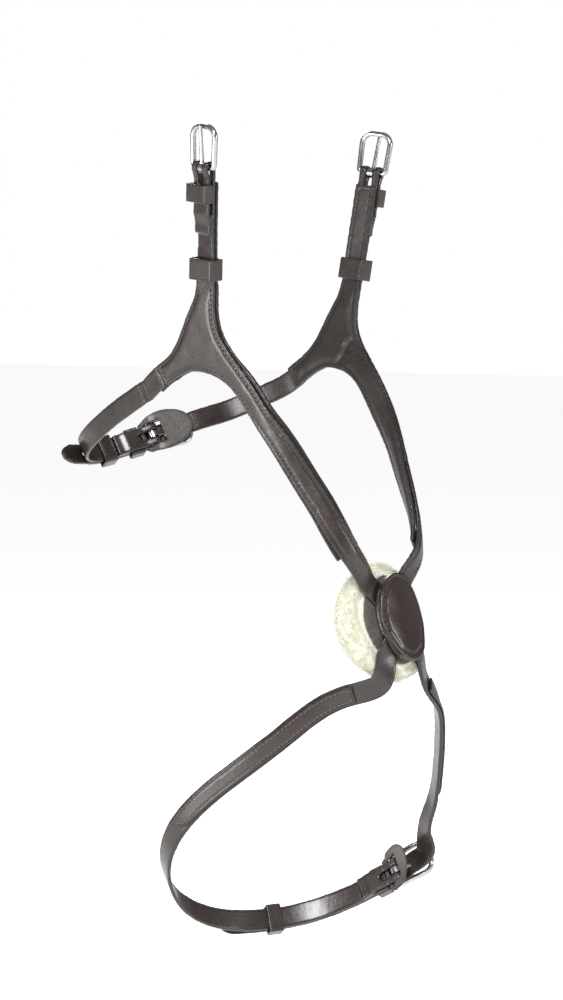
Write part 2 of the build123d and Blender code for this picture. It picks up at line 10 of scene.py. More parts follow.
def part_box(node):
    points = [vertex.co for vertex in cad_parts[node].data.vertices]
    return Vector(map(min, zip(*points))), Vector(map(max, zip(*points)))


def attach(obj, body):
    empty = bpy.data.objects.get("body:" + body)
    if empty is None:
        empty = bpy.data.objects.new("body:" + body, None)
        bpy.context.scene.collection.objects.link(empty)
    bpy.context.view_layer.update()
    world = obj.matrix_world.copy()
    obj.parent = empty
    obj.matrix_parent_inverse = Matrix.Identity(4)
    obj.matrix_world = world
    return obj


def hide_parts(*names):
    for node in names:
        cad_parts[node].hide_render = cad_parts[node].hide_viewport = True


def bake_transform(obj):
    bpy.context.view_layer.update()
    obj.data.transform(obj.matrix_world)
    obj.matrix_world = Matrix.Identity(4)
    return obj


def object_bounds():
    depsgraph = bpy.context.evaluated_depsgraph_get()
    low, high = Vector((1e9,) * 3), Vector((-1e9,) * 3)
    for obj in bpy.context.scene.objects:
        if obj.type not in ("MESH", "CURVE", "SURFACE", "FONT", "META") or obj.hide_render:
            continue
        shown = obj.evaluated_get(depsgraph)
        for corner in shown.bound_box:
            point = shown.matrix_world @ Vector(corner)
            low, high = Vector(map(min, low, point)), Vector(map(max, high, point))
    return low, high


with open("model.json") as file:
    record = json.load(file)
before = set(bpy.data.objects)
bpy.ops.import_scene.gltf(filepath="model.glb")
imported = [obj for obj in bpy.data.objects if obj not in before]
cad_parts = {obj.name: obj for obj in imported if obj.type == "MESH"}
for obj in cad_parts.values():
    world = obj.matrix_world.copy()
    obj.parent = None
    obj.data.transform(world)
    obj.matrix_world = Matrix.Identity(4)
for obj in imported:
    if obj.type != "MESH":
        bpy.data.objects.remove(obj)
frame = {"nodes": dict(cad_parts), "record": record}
cad_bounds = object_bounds()

MM = 0.001
SEED = 7

# Places that the looks need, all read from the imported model.
joint_list = {joint["name"]: joint for joint in frame["record"]["behaviour"]["joints"]}
jowl_flex = Vector(joint_list["jowl_loop_swing"]["pos_m"])
JOWL_ALONG = Vector((0, math.cos(math.radians(30)), -math.sin(math.radians(30))))
JOWL_CUT = jowl_flex - JOWL_ALONG * 17 * MM
RUNNER_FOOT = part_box("left_cheek_runner")[0].z
SHIELD_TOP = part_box("nose_shield")[1].z


# ---------------------------------------------------------------- materials

def new_material(name):
    """Empty node material, with its tree and its Principled shader."""
    material = bpy.data.materials.new(name)
    material.use_nodes = True
    tree = material.node_tree
    return material, tree, tree.nodes["Principled BSDF"]


def add_node(tree, kind, **settings):
    """New shader node. A setting is an input socket's value or a property of the node."""
    node = tree.nodes.new(kind)
    for key, value in settings.items():
        if key in node.inputs:
            node.inputs[key].default_value = value
        else:
            setattr(node, key, value)
    return node


def object_place(tree, stretch=(1, 1, 1)):
    """Texture coordinates in metres that stay with the piece, with an optional stretch."""
    place = tree.nodes.new("ShaderNodeTexCoord")
    mapping = tree.nodes.new("ShaderNodeMapping")
    mapping.inputs["Scale"].default_value = stretch
    tree.links.new(place.outputs["Object"], mapping.inputs["Vector"])
    return mapping.outputs["Vector"]


def noise_node(tree, place, size, detail=4.0, rough=0.55):
    """Noise texture whose features are about a given size in metres."""
    node = add_node(tree, "ShaderNodeTexNoise", Scale=1 / size, Detail=detail, Roughness=rough)
    tree.links.new(place, node.inputs["Vector"])
    return node.outputs["Fac"]


def ramp(tree, source, low, high, to_low, to_high):
    """Maps a value range to another range, clamped."""
    node = tree.nodes.new("ShaderNodeMapRange")
    for key, value in (("From Min", low), ("From Max", high), ("To Min", to_low), ("To Max", to_high)):
        node.inputs[key].default_value = value
    tree.links.new(source, node.inputs["Value"])
    return node.outputs["Result"]


def maths(tree, operation, first, second):
    """Result of a maths node. Each operand is a socket or a number."""
    node = add_node(tree, "ShaderNodeMath", operation=operation)
    for socket, value in zip(node.inputs, (first, second)):
        if isinstance(value, (int, float)):
            socket.default_value = value
        else:
            tree.links.new(value, socket)
    return node.outputs["Value"]


def mix_colour(tree, factor, first, second):
    """Mix of two colours. Each is a socket or a tuple."""
    node = tree.nodes.new("ShaderNodeMix")
    node.data_type = "RGBA"
    tree.links.new(factor, node.inputs["Factor"])
    for socket, value in ((node.inputs[6], first), (node.inputs[7], second)):
        if isinstance(value, tuple):
            socket.default_value = (*value, 1)
        else:
            tree.links.new(value, socket)
    return node.outputs[2]


def bump(tree, height, distance, strength, below=None):
    """Normal of a bump, laid over another bump's normal if there is one."""
    node = add_node(tree, "ShaderNodeBump", Distance=distance, Strength=strength)
    tree.links.new(height, node.inputs["Height"])
    if below is not None:
        tree.links.new(below, node.inputs["Normal"])
    return node.outputs["Normal"]


def leather_material(name, tint, worn, edge, rough, grain, sheen=0.45, relief=0.55):
    """Grained leather. The rim attribute, in mm from the nearest cut edge, burnishes the edges."""
    material, tree, shader = new_material(name)
    place = object_place(tree)
    rim = add_node(tree, "ShaderNodeAttribute", attribute_name="rim").outputs["Fac"]
    broad = noise_node(tree, place, 0.016, 3)
    fine = noise_node(tree, place, 0.0022, 5)
    pores = add_node(tree, "ShaderNodeTexVoronoi", Scale=1 / (grain * MM), feature="F1")
    tree.links.new(place, pores.inputs["Vector"])
    body = mix_colour(tree, ramp(tree, broad, 0.35, 0.7, 0, 1), tint, worn)
    mottled = mix_colour(tree, ramp(tree, fine, 0.35, 0.75, 0.0, 0.55), body, tuple(c * 0.62 for c in tint))
    burnished = mix_colour(tree, ramp(tree, rim, 0.15, 1.1, 0.85, 0.0), mottled, edge)
    tree.links.new(burnished, shader.inputs["Base Color"])
    fine_rough = ramp(tree, fine, 0.3, 0.7, rough - 0.06, rough + 0.09)
    roughness = maths(tree, "ADD", fine_rough, ramp(tree, broad, 0.3, 0.7, -0.04, 0.05))
    tree.links.new(roughness, shader.inputs["Roughness"])
    shader.inputs["Specular IOR Level"].default_value = 0.32
    shader.inputs["Coat Weight"].default_value = sheen
    shader.inputs["Coat Roughness"].default_value = 0.24
    # Grain, then a pressed crease that follows every edge.
    crease_centre = maths(tree, "ABSOLUTE", maths(tree, "SUBTRACT", rim, 1.15), 0)
    crease = ramp(tree, crease_centre, 0.0, 0.4, 0.0, 1.0)
    grained = bump(tree, pores.outputs["Distance"], grain * 0.35 * MM, relief)
    creped = bump(tree, fine, 0.35 * MM, relief * 0.8, grained)
    tree.links.new(bump(tree, crease, 0.35 * MM, 0.8, creped), shader.inputs["Normal"])
    return material


def steel_material():
    """Polished stainless steel with fine scratches and a few dull patches."""
    material, tree, shader = new_material("stainless_steel")
    place = object_place(tree)
    scratches = noise_node(tree, object_place(tree, (1, 1, 0.12)), 0.0005, 6, 0.7)
    patches = noise_node(tree, place, 0.006, 3)
    colour = mix_colour(tree, patches, (0.30, 0.30, 0.31), (0.50, 0.50, 0.51))
    tree.links.new(colour, shader.inputs["Base Color"])
    shader.inputs["Metallic"].default_value = 1.0
    patch_rough = ramp(tree, patches, 0.3, 0.7, 0.12, 0.24)
    roughness = maths(tree, "ADD", patch_rough, ramp(tree, scratches, 0.4, 0.7, 0, 0.08))
    tree.links.new(roughness, shader.inputs["Roughness"])
    tree.links.new(bump(tree, scratches, 0.02 * MM, 0.25), shader.inputs["Normal"])
    return material


def thread_material(name, colour):
    """Waxed linen thread, twisted across its length, with painted shade in the grooves of the twist."""
    material, tree, shader = new_material(name)
    twist = add_node(tree, "ShaderNodeTexWave", Scale=900, Distortion=1.5)
    tree.links.new(object_place(tree, (1, 0.7, 1)), twist.inputs["Vector"])
    # Painted shade: the colour darkens in the low bands of the twist, where the grooves between the turns
    # lie.
    painted_groove_shade = tuple(c * 0.55 for c in colour)
    tree.links.new(mix_colour(tree, twist.outputs["Fac"], painted_groove_shade, colour), shader.inputs["Base Color"])
    shader.inputs["Roughness"].default_value = 0.55
    tree.links.new(bump(tree, twist.outputs["Fac"], 0.1 * MM, 0.5), shader.inputs["Normal"])
    return material


def wool_material(name, light, deep, size):
    """Wool or felt: soft sheen, clumps of lighter and deeper colour."""
    material, tree, shader = new_material(name)
    place = object_place(tree)
    clumps = noise_node(tree, place, size, 5, 0.65)
    strands = noise_node(tree, place, 0.0007, 6, 0.7)
    body = mix_colour(tree, ramp(tree, clumps, 0.3, 0.7, 0, 1), deep, light)
    colour = mix_colour(tree, ramp(tree, strands, 0.4, 0.8, 0, 0.35), body, deep)
    tree.links.new(colour, shader.inputs["Base Color"])
    shader.inputs["Roughness"].default_value = 0.95
    shader.inputs["Sheen Weight"].default_value = 0.6
    shader.inputs["Sheen Roughness"].default_value = 0.5
    shader.inputs["Subsurface Weight"].default_value = 0.15
    shader.inputs["Subsurface Radius"].default_value = (0.004, 0.003, 0.002)
    tree.links.new(bump(tree, strands, 0.5 * MM, 0.6), shader.inputs["Normal"])
    return material


OUTER_LEATHER = leather_material(
    "bridle_leather", tint=(0.015, 0.0092, 0.0075), worn=(0.027, 0.0175, 0.0145), edge=(0.008, 0.005, 0.0045),
    rough=0.36, grain=0.9, relief=0.35)
SMOOTH_LEATHER = leather_material(
    "shield_leather", tint=(0.018, 0.0100, 0.0080), worn=(0.026, 0.0150, 0.0120), edge=(0.008, 0.005, 0.0045),
    rough=0.30, grain=1.2, relief=0.15)
LINING_LEATHER = leather_material(
    "lining_leather", tint=(0.013, 0.0085, 0.0075), worn=(0.021, 0.014, 0.012), edge=(0.006, 0.004, 0.0035),
    rough=0.45, grain=0.7, sheen=0.3)
GREY_LEATHER = leather_material(
    "safe_leather", tint=(0.058, 0.052, 0.047), worn=(0.080, 0.072, 0.066), edge=(0.020, 0.016, 0.014),
    rough=0.48, grain=0.7, sheen=0.15)
STEEL = steel_material()
DARK_THREAD = thread_material("dark_thread", (0.012, 0.008, 0.007))
LIGHT_THREAD = thread_material("light_thread", (0.17, 0.125, 0.10))
FLEECE = wool_material("sheepskin_wool", (0.86, 0.86, 0.73), (0.76, 0.75, 0.59), 0.006)
FELT = wool_material("grey_felt", (0.085, 0.078, 0.074), (0.030, 0.026, 0.025), 0.003)


# ---------------------------------------------------------------- surfaces

class Surface:
    """A remeshed solid, with numpy copies of its points and the fields its looks depend on."""

    def __init__(self, mesh):
        self.mesh = mesh
        self.points = np.empty((len(mesh.vertices), 3))
        mesh.vertices.foreach_get("co", self.points.ravel())
        self.edges = np.empty((len(mesh.edges), 2), dtype=np.int64)
        mesh.edges.foreach_get("vertices", self.edges.ravel())
        self.rim = self.rim_distance()

    def average(self, values):
        """Each vertex's mean over its neighbours."""
        count = len(self.points)
        first, second = self.edges.T
        degree = np.bincount(first, minlength=count) + np.bincount(second, minlength=count)
        columns = values.reshape(count, -1).T
        total = [
            np.bincount(first, column[second], count) + np.bincount(second, column[first], count)
            for column in columns
        ]
        return (np.array(total) / np.maximum(degree, 1)).T.reshape(values.shape)

    def smooth(self, passes, strength=0.5):
        for _ in range(passes):
            self.points += (self.average(self.points) - self.points) * strength
        self.write()

    def write(self):
        self.mesh.vertices.foreach_set("co", self.points.ravel())
        self.mesh.update()

    def normals(self):
        values = np.empty((len(self.points), 3))
        self.mesh.vertex_normals.foreach_get("vector", values.ravel())
        return values

    def rim_distance(self, sharp=32.0):
        """Distance in mm from each vertex to the nearest sharp edge, smoothed."""
        mesh = self.mesh
        loop_edge = np.empty(len(mesh.loops), dtype=np.int64)
        mesh.loops.foreach_get("edge_index", loop_edge)
        sizes = np.empty(len(mesh.polygons), dtype=np.int64)
        mesh.polygons.foreach_get("loop_total", sizes)
        facing = np.empty((len(mesh.polygons), 3))
        mesh.polygons.foreach_get("normal", facing.ravel())
        owner = np.repeat(np.arange(len(sizes)), sizes)
        order = np.argsort(loop_edge, kind="stable")
        paired = np.flatnonzero(loop_edge[order][:-1] == loop_edge[order][1:])
        first, second = owner[order[paired]], owner[order[paired + 1]]
        cosine = np.einsum("ij,ij->i", facing[first], facing[second])
        rim_edges = loop_edge[order[paired]][cosine < math.cos(math.radians(sharp))]
        rim_points = np.unique(self.edges[rim_edges])
        if len(rim_points) == 0:
            return np.full(len(self.points), 9.0)
        tree = kdtree.KDTree(len(rim_points))
        for index in rim_points:
            tree.insert(self.points[index], int(index))
        tree.balance()
        distance = np.array([tree.find(point)[2] for point in self.points]) / MM
        for _ in range(6):
            distance += (self.average(distance) - distance) * 0.5
        return distance

    def outward(self):
        """True where the surface faces away from the horse."""
        inner = np.zeros_like(self.points)
        inner[:, 1] = 0.06
        inner[:, 2] = np.maximum(self.points[:, 2], -0.11)
        return np.einsum("ij,ij->i", self.normals(), self.points - inner) > 0

    def push(self, amount):
        """Moves every vertex along its normal by its own amount, in mm."""
        self.points += self.normals() * (amount * MM)[:, None]
        self.write()

    def make_room(self, node, gap):
        """Moves vertices that lie within a gap in mm of a CAD node straight away from it."""
        mesh = frame["nodes"][node].data
        corners = [vertex.co.copy() for vertex in mesh.vertices]
        tree = bvhtree.BVHTree.FromPolygons(corners, [tuple(polygon.vertices) for polygon in mesh.polygons])
        for index, point in enumerate(self.points):
            nearest, _, _, distance = tree.find_nearest(Vector(point), gap * MM)
            if nearest is not None and distance > 0:
                self.points[index] += (point - np.array(nearest)) * (gap * MM / distance - 1)
        self.write()

    def ripple(self, size, amount, seed):
        """Uneven thickness: smooth noise of a given size, both in mm."""
        shift = Vector((seed * 3.7, seed * 1.3, seed * 2.1))
        values = np.array([noise.noise(Vector(point) / (size * MM) + shift) for point in self.points])
        self.push(values * amount)

    def contour(self, level, wanted):
        """Chains of (point, normal) where the rim distance crosses a level on wanted vertices."""
        mesh = self.mesh
        mesh.calc_loop_triangles()
        corners = np.empty((len(mesh.loop_triangles), 3), dtype=np.int64)
        mesh.loop_triangles.foreach_get("vertices", corners.ravel())
        values = self.rim[corners] - level
        crossed = (values.min(1) < 0) & (values.max(1) >= 0) & wanted[corners].all(1)
        facing = self.normals()
        place, links = {}, {}
        for triangle, value in zip(corners[crossed], values[crossed]):
            ends = []
            for a, b in ((0, 1), (1, 2), (2, 0)):
                if (value[a] < 0) == (value[b] < 0):
                    continue
                low, high = sorted(((triangle[a], value[a]), (triangle[b], value[b])))
                share = low[1] / (low[1] - high[1])
                key = (low[0], high[0])
                point = self.points[low[0]] * (1 - share) + self.points[high[0]] * share
                place[key] = (point, facing[low[0]] + facing[high[0]])
                ends.append(key)
            links.setdefault(ends[0], []).append(ends[1])
            links.setdefault(ends[1], []).append(ends[0])
        return walk_chains(place, links)


def walk_chains(place, links):
    """Joins linked places into chains, open ones first."""
    seen, chains = set(), []
    starts = [key for key in links if len(links[key]) == 1] + list(links)
    for start in starts:
        if start in seen:
            continue
        chain, here = [], start
        while here is not None:
            seen.add(here)
            chain.append(place[here])
            here = next((key for key in links[here] if key not in seen), None)
        chains.append(chain)
    return chains


def evenly(chain, pitch):
    """Points and normals at an even pitch along a smoothed chain, or nothing if it is short."""
    points = np.array([point for point, _ in chain])
    facing = np.array([normal for _, normal in chain])
    for _ in range(12):
        points[1:-1] += (points[:-2] + points[2:] - 2 * points[1:-1]) * 0.25
        facing[1:-1] += (facing[:-2] + facing[2:] - 2 * facing[1:-1]) * 0.25
    runs = np.concatenate([[0], np.cumsum(np.linalg.norm(np.diff(points, axis=0), axis=1))])
    if runs[-1] < 5 * pitch:
        return np.empty((0, 3)), np.empty((0, 3))
    marks = np.arange(pitch / 2, runs[-1] - pitch / 2, pitch)
    spread = [
        np.stack([np.interp(marks, runs, column) for column in array.T], 1)
        for array in (points, facing)
    ]
    return spread[0], spread[1] / np.linalg.norm(spread[1], axis=1, keepdims=True)


STITCH_RINGS = 5
STITCH_SIDES = 6


def stitch_row(chain, pitch=2.9, fill=0.74, radius=0.27, slant=0.12):
    """Vertices and faces of one row of slanted saddle stitches along a chain. Sizes in mm."""
    points, facing = evenly(chain, pitch * MM)
    vertices, faces = [], []
    for here, there, up in zip(points, points[1:], facing):
        run = there - here
        side = np.cross(up, run)
        side /= np.linalg.norm(side)
        base = len(vertices)
        for ring in range(STITCH_RINGS):
            share = ring / (STITCH_RINGS - 1)
            lift = (math.sin(math.pi * share) * 0.34 - 0.16) * MM
            middle = here + run * (share * fill) + up * lift + side * ((share - 0.5) * 2 * slant * MM)
            size = radius * (0.55 + 0.45 * math.sin(math.pi * share)) * MM
            for corner in range(STITCH_SIDES):
                angle = 2 * math.pi * corner / STITCH_SIDES
                vertices.append(middle + side * (math.cos(angle) * size) + up * (math.sin(angle) * size))
        faces += tube_faces(base, STITCH_RINGS, STITCH_SIDES)
    return vertices, faces


def tube_faces(base, rings, sides):
    """Quads of a closed tube of rings, with both ends capped."""
    faces = []
    for ring in range(rings - 1):
        for corner in range(sides):
            after = (corner + 1) % sides
            low, high = base + ring * sides, base + (ring + 1) * sides
            faces.append((low + corner, low + after, high + after, high + corner))
    faces.append(tuple(base + corner for corner in reversed(range(sides))))
    faces.append(tuple(base + (rings - 1) * sides + corner for corner in range(sides)))
    return faces


# ---------------------------------------------------------------- building pieces

def solid_of(nodes):
    """Bmesh with copies of some CAD solids."""
    body = bmesh.new()
    for node in nodes:
        body.from_mesh(frame["nodes"][node].data)
    bmesh.ops.remove_doubles(body, verts=body.verts, dist=0.002 * MM)
    return body


def cut_away(body, point, normal):
    """Removes what lies on the side of a plane that its normal points to, and closes the cut."""
    everything = body.verts[:] + body.edges[:] + body.faces[:]
    bmesh.ops.bisect_plane(body, geom=everything, plane_co=point, plane_no=normal, clear_outer=True)
    bmesh.ops.holes_fill(body, edges=[edge for edge in body.edges if edge.is_boundary], sides=0)


def end_points(body, direction):
    """The vertices of the flat end that lies furthest along a direction."""
    furthest = max(vertex.co.dot(direction) for vertex in body.verts)
    return [vertex.co.copy() for vertex in body.verts if vertex.co.dot(direction) > furthest - 0.03 * MM]


def bridged(upper, lower, down):
    """One bmesh of two solids, with the gap between their facing ends filled by a hull."""
    corners = end_points(upper, down) + end_points(lower, -down)
    hull = bmesh.new()
    for corner in corners:
        hull.verts.new(corner)
    bmesh.ops.convex_hull(hull, input=hull.verts)
    for part in (lower, hull):
        mesh = bpy.data.meshes.new("part")
        part.to_mesh(mesh)
        upper.from_mesh(mesh)
        bpy.data.meshes.remove(mesh)
        part.free()
    return upper


def remeshed(body, voxel):
    """Surface of a bmesh solid, rebuilt as even quads."""
    mesh = bpy.data.meshes.new("work")
    body.to_mesh(mesh)
    body.free()
    holder = bpy.data.objects.new("work", mesh)
    bpy.context.scene.collection.objects.link(holder)
    remesh = holder.modifiers.new("voxels", "REMESH")
    remesh.mode = "VOXEL"
    remesh.voxel_size = voxel * MM
    graph = bpy.context.evaluated_depsgraph_get()
    result = bpy.data.meshes.new_from_object(holder.evaluated_get(graph))
    bpy.data.objects.remove(holder)
    bpy.data.meshes.remove(mesh)
    return Surface(result)


def add_faces(mesh, vertices, faces, material_index):
    """Joins loose faces into a mesh, under a material slot."""
    extra = bpy.data.meshes.new("extra")
    extra.from_pydata(vertices, [], faces)
    for polygon in extra.polygons:
        polygon.material_index = material_index
    joined = bmesh.new()
    joined.from_mesh(mesh)
    joined.from_mesh(extra)
    joined.to_mesh(mesh)
    joined.free()
    bpy.data.meshes.remove(extra)


def piece(name, surface, materials):
    """Scene object for a finished surface."""
    mesh = surface.mesh
    mesh.name = name
    rim = mesh.attributes.new("rim", "FLOAT", "POINT")
    rim.data.foreach_set("value", surface.rim.astype(np.float32))
    for material in materials:
        mesh.materials.append(material)
    obj = bpy.data.objects.new(name, mesh)
    bpy.context.scene.collection.objects.link(obj)
    return obj


def sew(obj, rows):
    """Adds rows of stitches to a piece as its second material, and shades it smooth."""
    vertices, faces = [], []
    for chain in rows:
        row_vertices, row_faces = stitch_row(chain)
        faces += [tuple(len(vertices) + corner for corner in face) for face in row_faces]
        vertices += row_vertices
    if vertices:
        add_faces(obj.data, vertices, faces, 1)
    obj.data.polygons.foreach_set("use_smooth", [True] * len(obj.data.polygons))
    obj.data.update()


def below_runner(height):
    """Fades from 0 where the cheek's loose keeper slides to 1 a little below it."""
    return np.clip((RUNNER_FOOT - 0.004 - height) / 0.012, 0, 1)


def groove(rim, centre, width, depth):
    """Depth in mm of a soft channel that follows the rim."""
    return -depth * np.exp(-((rim - centre) / width) ** 2)


# ---------------------------------------------------------------- long straps

STITCH_INSET = 2.3
TONGUE_ROOM = 1.0


def long_strap(side, other):
    """A cheek with its nose arm, crossing and the chin strap it turns into, as one leather."""
    cheek = solid_of([f"{side}_cheek_leather"])
    cut_away(cheek, JOWL_CUT, JOWL_ALONG)
    chin = solid_of([f"{other}_chin_strap"])
    surface = remeshed(bridged(cheek, chin, Vector((0, 0, -1))), 0.6)
    surface.smooth(5)
    outer = surface.outward()
    height = surface.points[:, 2]
    rim = surface.rim
    padded = outer * below_runner(height) * np.clip((height - SHIELD_TOP) / 0.012, 0, 1)
    dome = 0.75 * (1 - np.exp(-((np.maximum(rim - 1.2, 0)) / 2.2) ** 2))
    surface.push(padded * (dome + groove(rim, STITCH_INSET, 0.6, 0.3)))
    surface.ripple(9, 0.16, len(side))
    if other == "left":
        surface.make_room("chin_buckle_tongue", TONGUE_ROOM)
    name = f"{side}_cheek_and_{other}_chin_strap"
    obj = piece(name, surface, [OUTER_LEATHER, DARK_THREAD])
    sewn = outer & (height < RUNNER_FOOT - 0.001) & (height > SHIELD_TOP - 0.004)
    sew(obj, surface.contour(STITCH_INSET, sewn))
    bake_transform(obj)
    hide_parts(f"{side}_cheek_leather", f"{other}_chin_strap")


def jowl_strap(side):
    """A jowl strap from the cheek's rear arm round to its buckle or its tip."""
    root = solid_of([f"{side}_cheek_leather"])
    cut_away(root, JOWL_CUT, -JOWL_ALONG)
    surface = remeshed(bridged(root, solid_of([f"{side}_jowl_strap"]), JOWL_ALONG), 0.6)
    surface.smooth(5)
    surface.ripple(9, 0.14, len(side) + 4)
    if side == "left":
        surface.make_room("jowl_buckle_tongue", TONGUE_ROOM)
    obj = piece(f"{side}_jowl_leather", surface, [OUTER_LEATHER, DARK_THREAD])
    sew(obj, [])
    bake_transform(obj)
    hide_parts(f"{side}_jowl_strap")


for side, other in (("left", "right"), ("right", "left")):
    long_strap(side, other)
    jowl_strap(side)


# ---------------------------------------------------------------- layers sewn to the straps

def soft_layer(
    node, material, voxel, passes, body, thread=None, inset=None, ripple=0.12, padding=0,
):
    """Leather layer from one CAD solid, rounded off, with an optional row of stitches inside its edge.

    A layer with padding, in mm, swells and is stitched on the face towards the horse.
    """
    surface = remeshed(solid_of([node]), voxel)
    surface.smooth(passes)
    sewn_face = ~surface.outward() if padding else surface.outward()
    if inset:
        dome = padding * (1 - np.exp(-(np.maximum(surface.rim - inset, 0) / 2.0) ** 2))
        dome *= below_runner(surface.points[:, 2])
        surface.push(sewn_face * (dome + groove(surface.rim, inset, 0.5, 0.2)))
    surface.ripple(8, ripple, len(node))
    obj = piece(node + "_look", surface, [material, thread or DARK_THREAD])
    sew(obj, surface.contour(inset, sewn_face) if inset else [])
    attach(obj, body)
    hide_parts(node)


def keeper_look(node, body):
    """One leather loop, with its edges rounded off."""
    soft_layer(node, OUTER_LEATHER, 0.35, 7, body, ripple=0.05)


for side in ("left", "right"):
    soft_layer(
        f"{side}_cheek_lining", LINING_LEATHER, 0.6, 6, "nose_and_cheeks",
        inset=2.6, padding=1.0,
    )
    soft_layer(
        f"{side}_chin_overlay", OUTER_LEATHER, 0.45, 3, "chin_loop",
        LIGHT_THREAD, 1.5, 0.05,
    )
    keeper_look(f"{side}_cheek_fixed_keeper", "nose_and_cheeks")
    keeper_look(f"{side}_cheek_runner", f"{side}_cheek_loose_keeper")

for loop in ("chin", "jowl"):
    soft_layer(f"{loop}_safe", GREY_LEATHER, 0.4, 3, f"{loop}_loop", ripple=0.1)
    keeper_look(f"{loop}_fixed_keeper", f"{loop}_loop")
    keeper_look(f"{loop}_runner", f"{loop}_loose_keeper")


# ---------------------------------------------------------------- nose pad

def oval_reach(node, points):
    """How far points lie from the middle of an oval pad layer, seen from the front: 1 on its outline."""
    low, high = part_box(node)
    centre = (low + high) / 2
    half = (high - low) / 2
    return np.hypot((points[:, 0] - centre.x) / half.x, (points[:, 2] - centre.z) / half.z)


def nose_shield():
    """Domed shield with a flattened, stitched flange."""
    surface = remeshed(solid_of(["nose_shield"]), 0.5)
    surface.smooth(6)
    outer = surface.outward()
    flange = outer & (oval_reach("nose_shield", surface.points) > 0.72)
    surface.rim[~flange] = np.maximum(surface.rim[~flange], 4)
    surface.push(flange * groove(surface.rim, 2.4, 0.9, 0.55))
    surface.ripple(11, 0.25, 3)
    obj = piece("nose_shield_look", surface, [SMOOTH_LEATHER, DARK_THREAD])
    sew(obj, [max(surface.contour(2.2, flange), key=len)])
    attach(obj, "nose_and_cheeks")
    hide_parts("nose_shield")


def scattered(surface, count, draw):
    """Random points on a surface with their normals, evenly spread by area."""
    surface.mesh.calc_loop_triangles()
    corners = np.empty((len(surface.mesh.loop_triangles), 3), dtype=np.int64)
    surface.mesh.loop_triangles.foreach_get("vertices", corners.ravel())
    a, b, c = (surface.points[corners[:, i]] for i in range(3))
    cross = np.cross(b - a, c - a)
    area = np.linalg.norm(cross, axis=1)
    chosen = draw.choice(len(corners), count, p=area / area.sum())
    first, second = draw.random(count), draw.random(count)
    flipped = first + second > 1
    first[flipped], second[flipped] = 1 - first[flipped], 1 - second[flipped]
    place = a[chosen] + (b - a)[chosen] * first[:, None] + (c - a)[chosen] * second[:, None]
    return place, cross[chosen] / area[chosen][:, None]


HAIR_RINGS = 6
HAIR_SIDES = 3


def curled_hairs(place, normals, length, radius, curl, lift, draw):
    """Vertices and faces of short tapered hairs that curl away from a surface. Sizes in mm."""
    count = len(place)
    lean = np.cross(normals, draw.normal(size=(count, 3)))
    lean /= np.linalg.norm(lean, axis=1, keepdims=True)
    across = np.cross(normals, lean)
    reach = length * MM * draw.uniform(0.6, 1.25, count)
    phase = draw.uniform(0, 2 * math.pi, count)
    rings = []
    for ring in range(HAIR_RINGS):
        share = ring / (HAIR_RINGS - 1)
        wave = phase + curl * share * math.pi
        middle = (
            place
            + normals * (reach * lift * math.sin(share * 2.0) - 0.3 * MM)[:, None]
            + lean * (reach * share * 0.8)[:, None]
            + across * (np.sin(wave) * reach * 0.22)[:, None]
            + normals * (np.cos(wave) * reach * 0.12)[:, None]
        )
        size = radius * MM * (1 - 0.75 * share)
        for corner in range(HAIR_SIDES):
            angle = 2 * math.pi * corner / HAIR_SIDES
            rings.append(middle + across * (math.cos(angle) * size) + normals * (math.sin(angle) * size))
    vertices = np.stack(rings, 1).reshape(-1, 3)
    pattern = np.array(tube_quads(HAIR_RINGS, HAIR_SIDES))
    step = HAIR_RINGS * HAIR_SIDES
    quads = (pattern[None] + (np.arange(count) * step)[:, None, None]).reshape(-1, 4)
    ends = [0, 2, 1], [step - 3, step - 2, step - 1]
    caps = [(np.array(end)[None] + (np.arange(count) * step)[:, None]) for end in ends]
    faces = [tuple(face) for face in quads.tolist()]
    for cap in caps:
        faces += [tuple(face) for face in cap.tolist()]
    return vertices, faces


def tube_quads(rings, sides):
    return [face for face in tube_faces(0, rings, sides) if len(face) == 4]


def swollen(surface, cap):
    """Puffs a padded piece up with a short cloth simulation, moving no point further than the cap in mm."""
    holder = bpy.data.objects.new("puff", surface.mesh.copy())
    bpy.context.scene.collection.objects.link(holder)
    cloth = holder.modifiers.new("cloth", "CLOTH")
    cloth.settings.use_pressure = True
    cloth.settings.uniform_pressure_force = 4
    cloth.settings.effector_weights.gravity = 0
    cloth.settings.quality = 5
    for step in range(1, 21):
        bpy.context.scene.frame_set(step)
    graph = bpy.context.evaluated_depsgraph_get()
    result = bpy.data.meshes.new_from_object(holder.evaluated_get(graph))
    moved = np.empty((len(result.vertices), 3))
    result.vertices.foreach_get("co", moved.ravel())
    bpy.context.scene.frame_set(1)
    bpy.data.objects.remove(holder)
    bpy.data.meshes.remove(result)
    shift = moved - surface.points
    length = np.linalg.norm(shift, axis=1, keepdims=True)
    return shift * np.minimum(1, cap * MM / np.maximum(length, 1e-9))


def under_backing(points, margin):
    """How far a point lies under the backing: 1 under it, 0 beyond a margin in mm outside its outline."""
    low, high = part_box("nose_backing")
    outside = (oval_reach("nose_backing", points) - 1) * (high.x - low.x) / 2
    front = points[:, 1] < low.y + 0.022
    return np.clip(1 - outside / (margin * MM), 0, 1) * front


